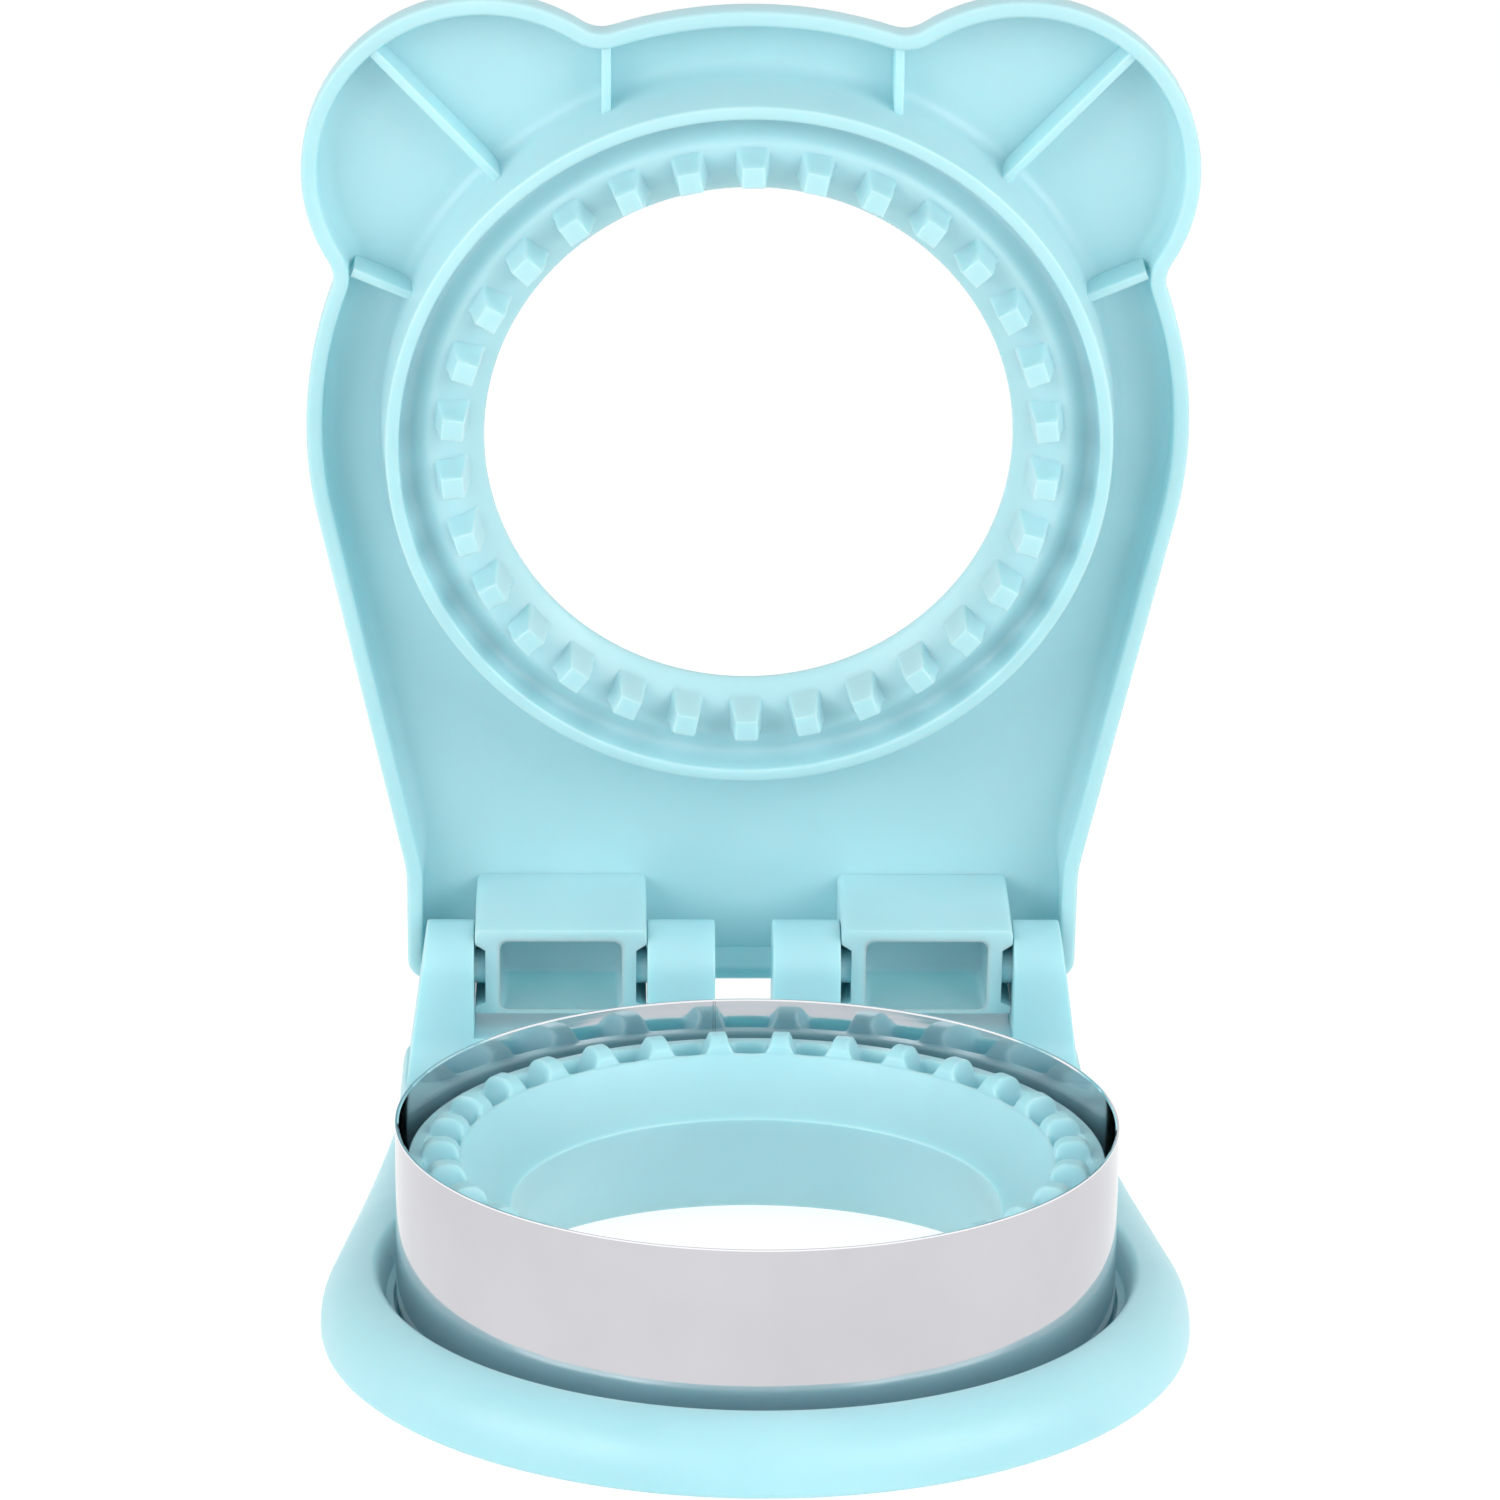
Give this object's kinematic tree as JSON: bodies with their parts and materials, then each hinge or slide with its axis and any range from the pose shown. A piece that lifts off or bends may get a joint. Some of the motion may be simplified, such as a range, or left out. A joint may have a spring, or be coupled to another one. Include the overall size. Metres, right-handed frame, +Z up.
{
  "type": "sandwich cutter and sealer",
  "caption": "Hinged hand press that cuts sliced bread round with a steel ring and crimps its edge shut between toothed rings in the base and the lid.",
  "frame": {"origin": "on the table, under the middle of the tool's box with the lid standing open as pictured", "axes": "+Z up, -Y towards the cutting ring and the user, +Y towards the hinge, X along the hinge axis"},
  "size_m": [0.1248, 0.1554, 0.1675],
  "materials": {
    "base_plastic": "satin",
    "insert_plastic": "satin",
    "lid_plastic": "satin",
    "ring_steel": "polished",
    "screw_steel": "plain"
  },
  "bodies": {
    "base": {"base_shell": "base_plastic", "crimp_insert": "insert_plastic", "cutter_ring": "ring_steel", "insert_screw_1": "screw_steel", "insert_screw_2": "screw_steel", "insert_screw_3": "screw_steel", "insert_screw_4": "screw_steel"},
    "lid": {"lid": "lid_plastic"}
  },
  "joints": [
    {"name": "lid_hinge", "type": "hinge", "parent": "base", "child": "lid", "pos_m": [0, 0.06043, 0.0235], "axis": [-1, 0, 0], "range_deg": [-81.5, 18.5]}
  ]
}
